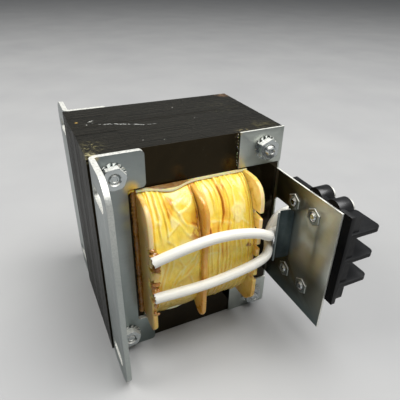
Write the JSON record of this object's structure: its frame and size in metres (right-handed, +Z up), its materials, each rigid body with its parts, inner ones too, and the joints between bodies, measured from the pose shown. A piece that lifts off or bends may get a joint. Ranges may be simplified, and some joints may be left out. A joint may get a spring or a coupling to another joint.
{
  "type": "open-frame power transformer",
  "caption": "Open-frame chassis power transformer with laminated core, taped coil, slotted foot brackets and a side terminal block.",
  "frame": {"origin": "centre of the core's footprint on the level floor under it, midway between the core's two ends in X and its two broad faces in Y", "axes": "+Z up as pictured, with the transformer on its long side; +X along the coil axis from the mounting foot to the terminal side; -Y toward the side with the nuts and leads"},
  "size_m": [0.1162, 0.1433, 0.1143],
  "materials": {
    "core_varnish": "black varnished lamination steel",
    "bracket_zinc": "zinc-plated steel",
    "plate_zinc": "thin steel with yellowish zinc passivation",
    "hardware_zinc": "bright zinc plate",
    "bobbin_resin": "amber resin, varnish coated",
    "winding_tape": "yellow varnished tape",
    "slot_film": "thin amber film",
    "block_black": "moulded black plastic",
    "terminal_brass": "brass bar",
    "terminal_plated": "nickel-plated",
    "lead_sleeve": "white sleeving"
  },
  "bodies": {
    "root": {"block_screws": "hardware_zinc", "bobbin_flange_left": "bobbin_resin", "bobbin_flange_middle": "bobbin_resin", "bobbin_flange_right": "bobbin_resin", "bobbin_tube": "bobbin_resin", "clinch_nuts": "hardware_zinc", "core_screws": "hardware_zinc", "core_stack": "core_varnish", "front_foot_bracket": "bracket_zinc", "keps_nuts": "hardware_zinc", "lobe_screws": "terminal_plated", "lower_lead": "lead_sleeve", "lower_slot_sheet": "slot_film", "rear_flat_washers": "hardware_zinc", "rear_foot_bracket": "bracket_zinc", "ring_terminals": "terminal_plated", "terminal_bars": "terminal_brass", "terminal_block": "block_black", "terminal_bracket": "plate_zinc", "terminal_screws": "terminal_plated", "tooth_washers": "hardware_zinc", "upper_lead": "lead_sleeve", "upper_slot_sheet": "slot_film", "winding_left": "winding_tape", "winding_right": "winding_tape"}
  },
  "joints": []
}
